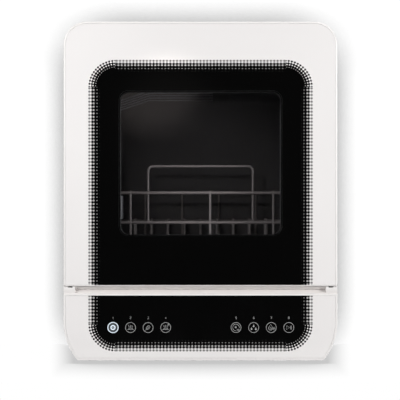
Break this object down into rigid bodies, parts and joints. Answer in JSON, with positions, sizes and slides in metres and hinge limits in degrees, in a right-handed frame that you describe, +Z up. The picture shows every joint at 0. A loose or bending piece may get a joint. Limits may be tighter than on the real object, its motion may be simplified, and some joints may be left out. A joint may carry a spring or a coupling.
{
  "type": "countertop dishwasher",
  "caption": "Countertop dishwasher with a flip-up window door, a wire rack on rollers, spray arms, pumps, water tank, filler lid and a touch panel.",
  "frame": {"origin": "on the counter, under the middle of the whole machine with its water connections", "axes": "+X to the right seen from the front, +Y from the door to the back, +Z up"},
  "size_m": [0.38, 0.41, 0.475],
  "materials": {
    "white_shell": "satin white moulding",
    "pan_plastic": "matt light grey moulding",
    "dark_plastic": "matt black moulding",
    "grey_plastic": "matt grey moulding",
    "pale_plastic": "satin pale moulding",
    "printed_glass": "gloss glass, printed black and white on the back",
    "clear_glass": "clear gloss",
    "clear_plastic": "translucent",
    "steel": "brushed",
    "tub_steel": "satin grey tub moulding",
    "rubber": "matt",
    "board": "lacquered board",
    "coated_wire": "smooth grey coating over steel wire"
  },
  "bodies": {
    "case": {"base_pan": "pan_plastic", "pan_supports": "dark_plastic", "left_side_panel": "white_shell", "right_side_panel": "white_shell", "top_cover": "white_shell", "back_panel": "white_shell", "vent_grille": "dark_plastic", "back_screws": "steel", "feet": "rubber", "front_frame": "pan_plastic", "lower_front_panel": "white_shell", "control_glass": "printed_glass", "light_guides": "clear_plastic", "touch_board": "board", "handle_recess": "white_shell", "board_box": "pan_plastic", "main_board": "board", "cord_gland": "dark_plastic", "tub": "tub_steel", "door_seal": "rubber", "rack_rails": "steel", "sump": "grey_plastic", "filter_plate": "steel", "wash_pump": "grey_plastic", "pump_motor": "steel", "arm_post": "grey_plastic", "riser_pipe": "grey_plastic", "drain_pump": "dark_plastic", "drain_pipe": "grey_plastic", "inlet_valve": "pan_plastic", "water_tank": "clear_plastic", "drying_fan": "dark_plastic", "hinge_brackets": "steel", "latch_strikes": "steel"},
    "door": {"door_frame": "white_shell", "door_glass": "printed_glass", "window_pane": "clear_glass", "inner_pane": "clear_glass", "door_liner": "tub_steel", "hinge_dampers": "dark_plastic"},
    "rack": {"rack_floor": "coated_wire", "rack_front": "coated_wire", "rack_back": "coated_wire", "rack_sides": "coated_wire", "cup_frame": "coated_wire", "rack_tines": "coated_wire", "tablet_cup": "pale_plastic", "rack_runners": "steel"},
    "front_roller_left": {"roller_front_left": "pale_plastic"},
    "front_roller_right": {"roller_front_right": "pale_plastic"},
    "back_roller_left": {"roller_back_left": "pale_plastic"},
    "back_roller_right": {"roller_back_right": "pale_plastic"},
    "filter_basket": {"coarse_filter": "grey_plastic"},
    "wash_rotor": {"wash_impeller": "pale_plastic"},
    "drain_rotor": {"drain_impeller": "pale_plastic"},
    "fan_rotor": {"fan_wheel": "dark_plastic"},
    "lower_arm": {"lower_spray_arm": "pale_plastic"},
    "upper_arm": {"upper_spray_arm": "pale_plastic"},
    "filler_lid": {"fill_cap": "white_shell"},
    "float": {"float_cap": "pan_plastic"}
  },
  "joints": [
    {"name": "door_hinge", "type": "hinge", "parent": "case", "child": "door", "pos_m": [0, -0.185, 0.45], "axis": [-1, 0, 0], "range_deg": [0, 90]},
    {"name": "rack_slide", "type": "slide", "parent": "case", "child": "rack", "axis": [0, -1, 0], "range_m": [0, 0.181]},
    {"name": "front_roller_left_spin", "type": "hinge", "parent": "case", "child": "front_roller_left", "pos_m": [-0.1447, -0.14, 0.1698], "axis": [1, 0, 0], "range_deg": [0, 1040]},
    {"name": "front_roller_right_spin", "type": "hinge", "parent": "case", "child": "front_roller_right", "pos_m": [0.1447, -0.14, 0.1698], "axis": [1, 0, 0], "range_deg": [0, 1040]},
    {"name": "back_roller_left_spin", "type": "hinge", "parent": "rack", "child": "back_roller_left", "pos_m": [-0.15165, 0.078, 0.1698], "axis": [1, 0, 0], "range_deg": [0, 1040]},
    {"name": "back_roller_right_spin", "type": "hinge", "parent": "rack", "child": "back_roller_right", "pos_m": [0.15165, 0.078, 0.1698], "axis": [1, 0, 0], "range_deg": [0, 1040]},
    {"name": "filter_twist", "type": "hinge", "parent": "case", "child": "filter_basket", "pos_m": [-0.09, 0.05, 0.09], "axis": [0, 0, 1], "range_deg": [0, 45]},
    {"name": "wash_spin", "type": "hinge", "parent": "case", "child": "wash_rotor", "pos_m": [0, 0.05, 0.062], "axis": [1, 0, 0], "continuous": true},
    {"name": "drain_spin", "type": "hinge", "parent": "case", "child": "drain_rotor", "pos_m": [-0.09, -0.016, 0.062], "axis": [0, 1, 0], "continuous": true},
    {"name": "fan_spin", "type": "hinge", "parent": "case", "child": "fan_rotor", "pos_m": [0.06, 0.133, 0.405], "axis": [0, 1, 0], "continuous": true},
    {"name": "lower_arm_spin", "type": "hinge", "parent": "case", "child": "lower_arm", "pos_m": [0, -0.0245, 0.135], "axis": [0, 0, 1], "continuous": true},
    {"name": "upper_arm_spin", "type": "hinge", "parent": "case", "child": "upper_arm", "pos_m": [0, -0.0245, 0.405], "axis": [0, 0, 1], "continuous": true},
    {"name": "filler_lid_hinge", "type": "hinge", "parent": "case", "child": "filler_lid", "pos_m": [-0.11, 0.1699, 0.4716], "axis": [-1, 0, 0], "range_deg": [0, 95]},
    {"name": "float_lift", "type": "slide", "parent": "case", "child": "float", "axis": [0, 0, 1], "range_m": [0, 0.008]}
  ],
  "couplings": [
    {"joint": "rack_slide", "follows": "door_hinge", "m_per_rad": 0.11459},
    {"joint": "front_roller_left_spin", "follows": "door_hinge", "ratio": 11.459},
    {"joint": "front_roller_right_spin", "follows": "door_hinge", "ratio": 11.459},
    {"joint": "back_roller_left_spin", "follows": "door_hinge", "ratio": 11.459},
    {"joint": "back_roller_right_spin", "follows": "door_hinge", "ratio": 11.459}
  ]
}
